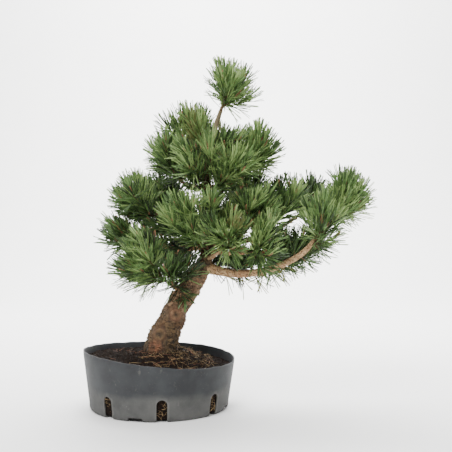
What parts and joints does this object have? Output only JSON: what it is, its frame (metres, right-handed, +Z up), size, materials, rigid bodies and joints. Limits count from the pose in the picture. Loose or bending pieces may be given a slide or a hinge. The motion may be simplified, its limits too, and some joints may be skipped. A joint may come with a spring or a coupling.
{
  "type": "potted mugo pine prebonsai",
  "caption": "Young pine for bonsai training: leaning tapered trunk, spreading boughs with tufts of needles, in a round nursery pot cut down low.",
  "frame": {"origin": "centre of the pot's flat underside, on the surface it stands on", "axes": "+Z up, -Y towards the side the picture was taken from, +X to its right, where the long bough reaches"},
  "size_m": [0.4717, 0.2709, 0.5592],
  "materials": {
    "pot": "blue-grey moulded plastic, dusty and chalk-marked towards the foot",
    "soil": "dark moist potting mix with straw-coloured root fibres",
    "trunk_bark": "scaly grey-brown pine bark",
    "bough_bark": "thin tan to pinkish bark",
    "needles": "stiff satin green needles"
  },
  "bodies": {
    "root": {"pot": "pot", "soil": "soil", "trunk": "trunk_bark", "bough_low_left": "bough_bark", "bough_low_back": "bough_bark", "bough_right": "bough_bark", "bough_right_rise": "bough_bark", "bough_right_front": "bough_bark", "bough_back_right": "bough_bark", "bough_front_right": "bough_bark", "bough_left": "bough_bark", "bough_mid_right": "bough_bark", "bough_back_left": "bough_bark", "bough_back": "bough_bark", "bough_right_inner": "bough_bark", "bough_left_high": "bough_bark", "bough_crown_left": "bough_bark", "bough_crown_right": "bough_bark", "tuft_top": "needles", "tuft_crown_left": "needles", "tuft_crown_high_left": "needles", "tuft_crown_front": "needles", "tuft_crown_middle": "needles", "tuft_crown_front_right": "needles", "tuft_crown_right": "needles", "tuft_crown_back": "needles", "tuft_crown_back_left": "needles", "tuft_left_high": "needles", "tuft_left": "needles", "tuft_low_left": "needles", "tuft_low_back": "needles", "tuft_back_left": "needles", "tuft_front_left": "needles", "tuft_left_inner": "needles", "tuft_front_middle": "needles", "tuft_front_right": "needles", "tuft_right_front": "needles", "tuft_mid_right": "needles", "tuft_right_inner": "needles", "tuft_right_back": "needles", "tuft_back": "needles", "tuft_back_low": "needles", "tuft_right_end": "needles", "tuft_right_low": "needles", "tuft_low_inner": "needles", "tuft_under_right": "needles", "tuft_back_middle": "needles"}
  },
  "joints": []
}
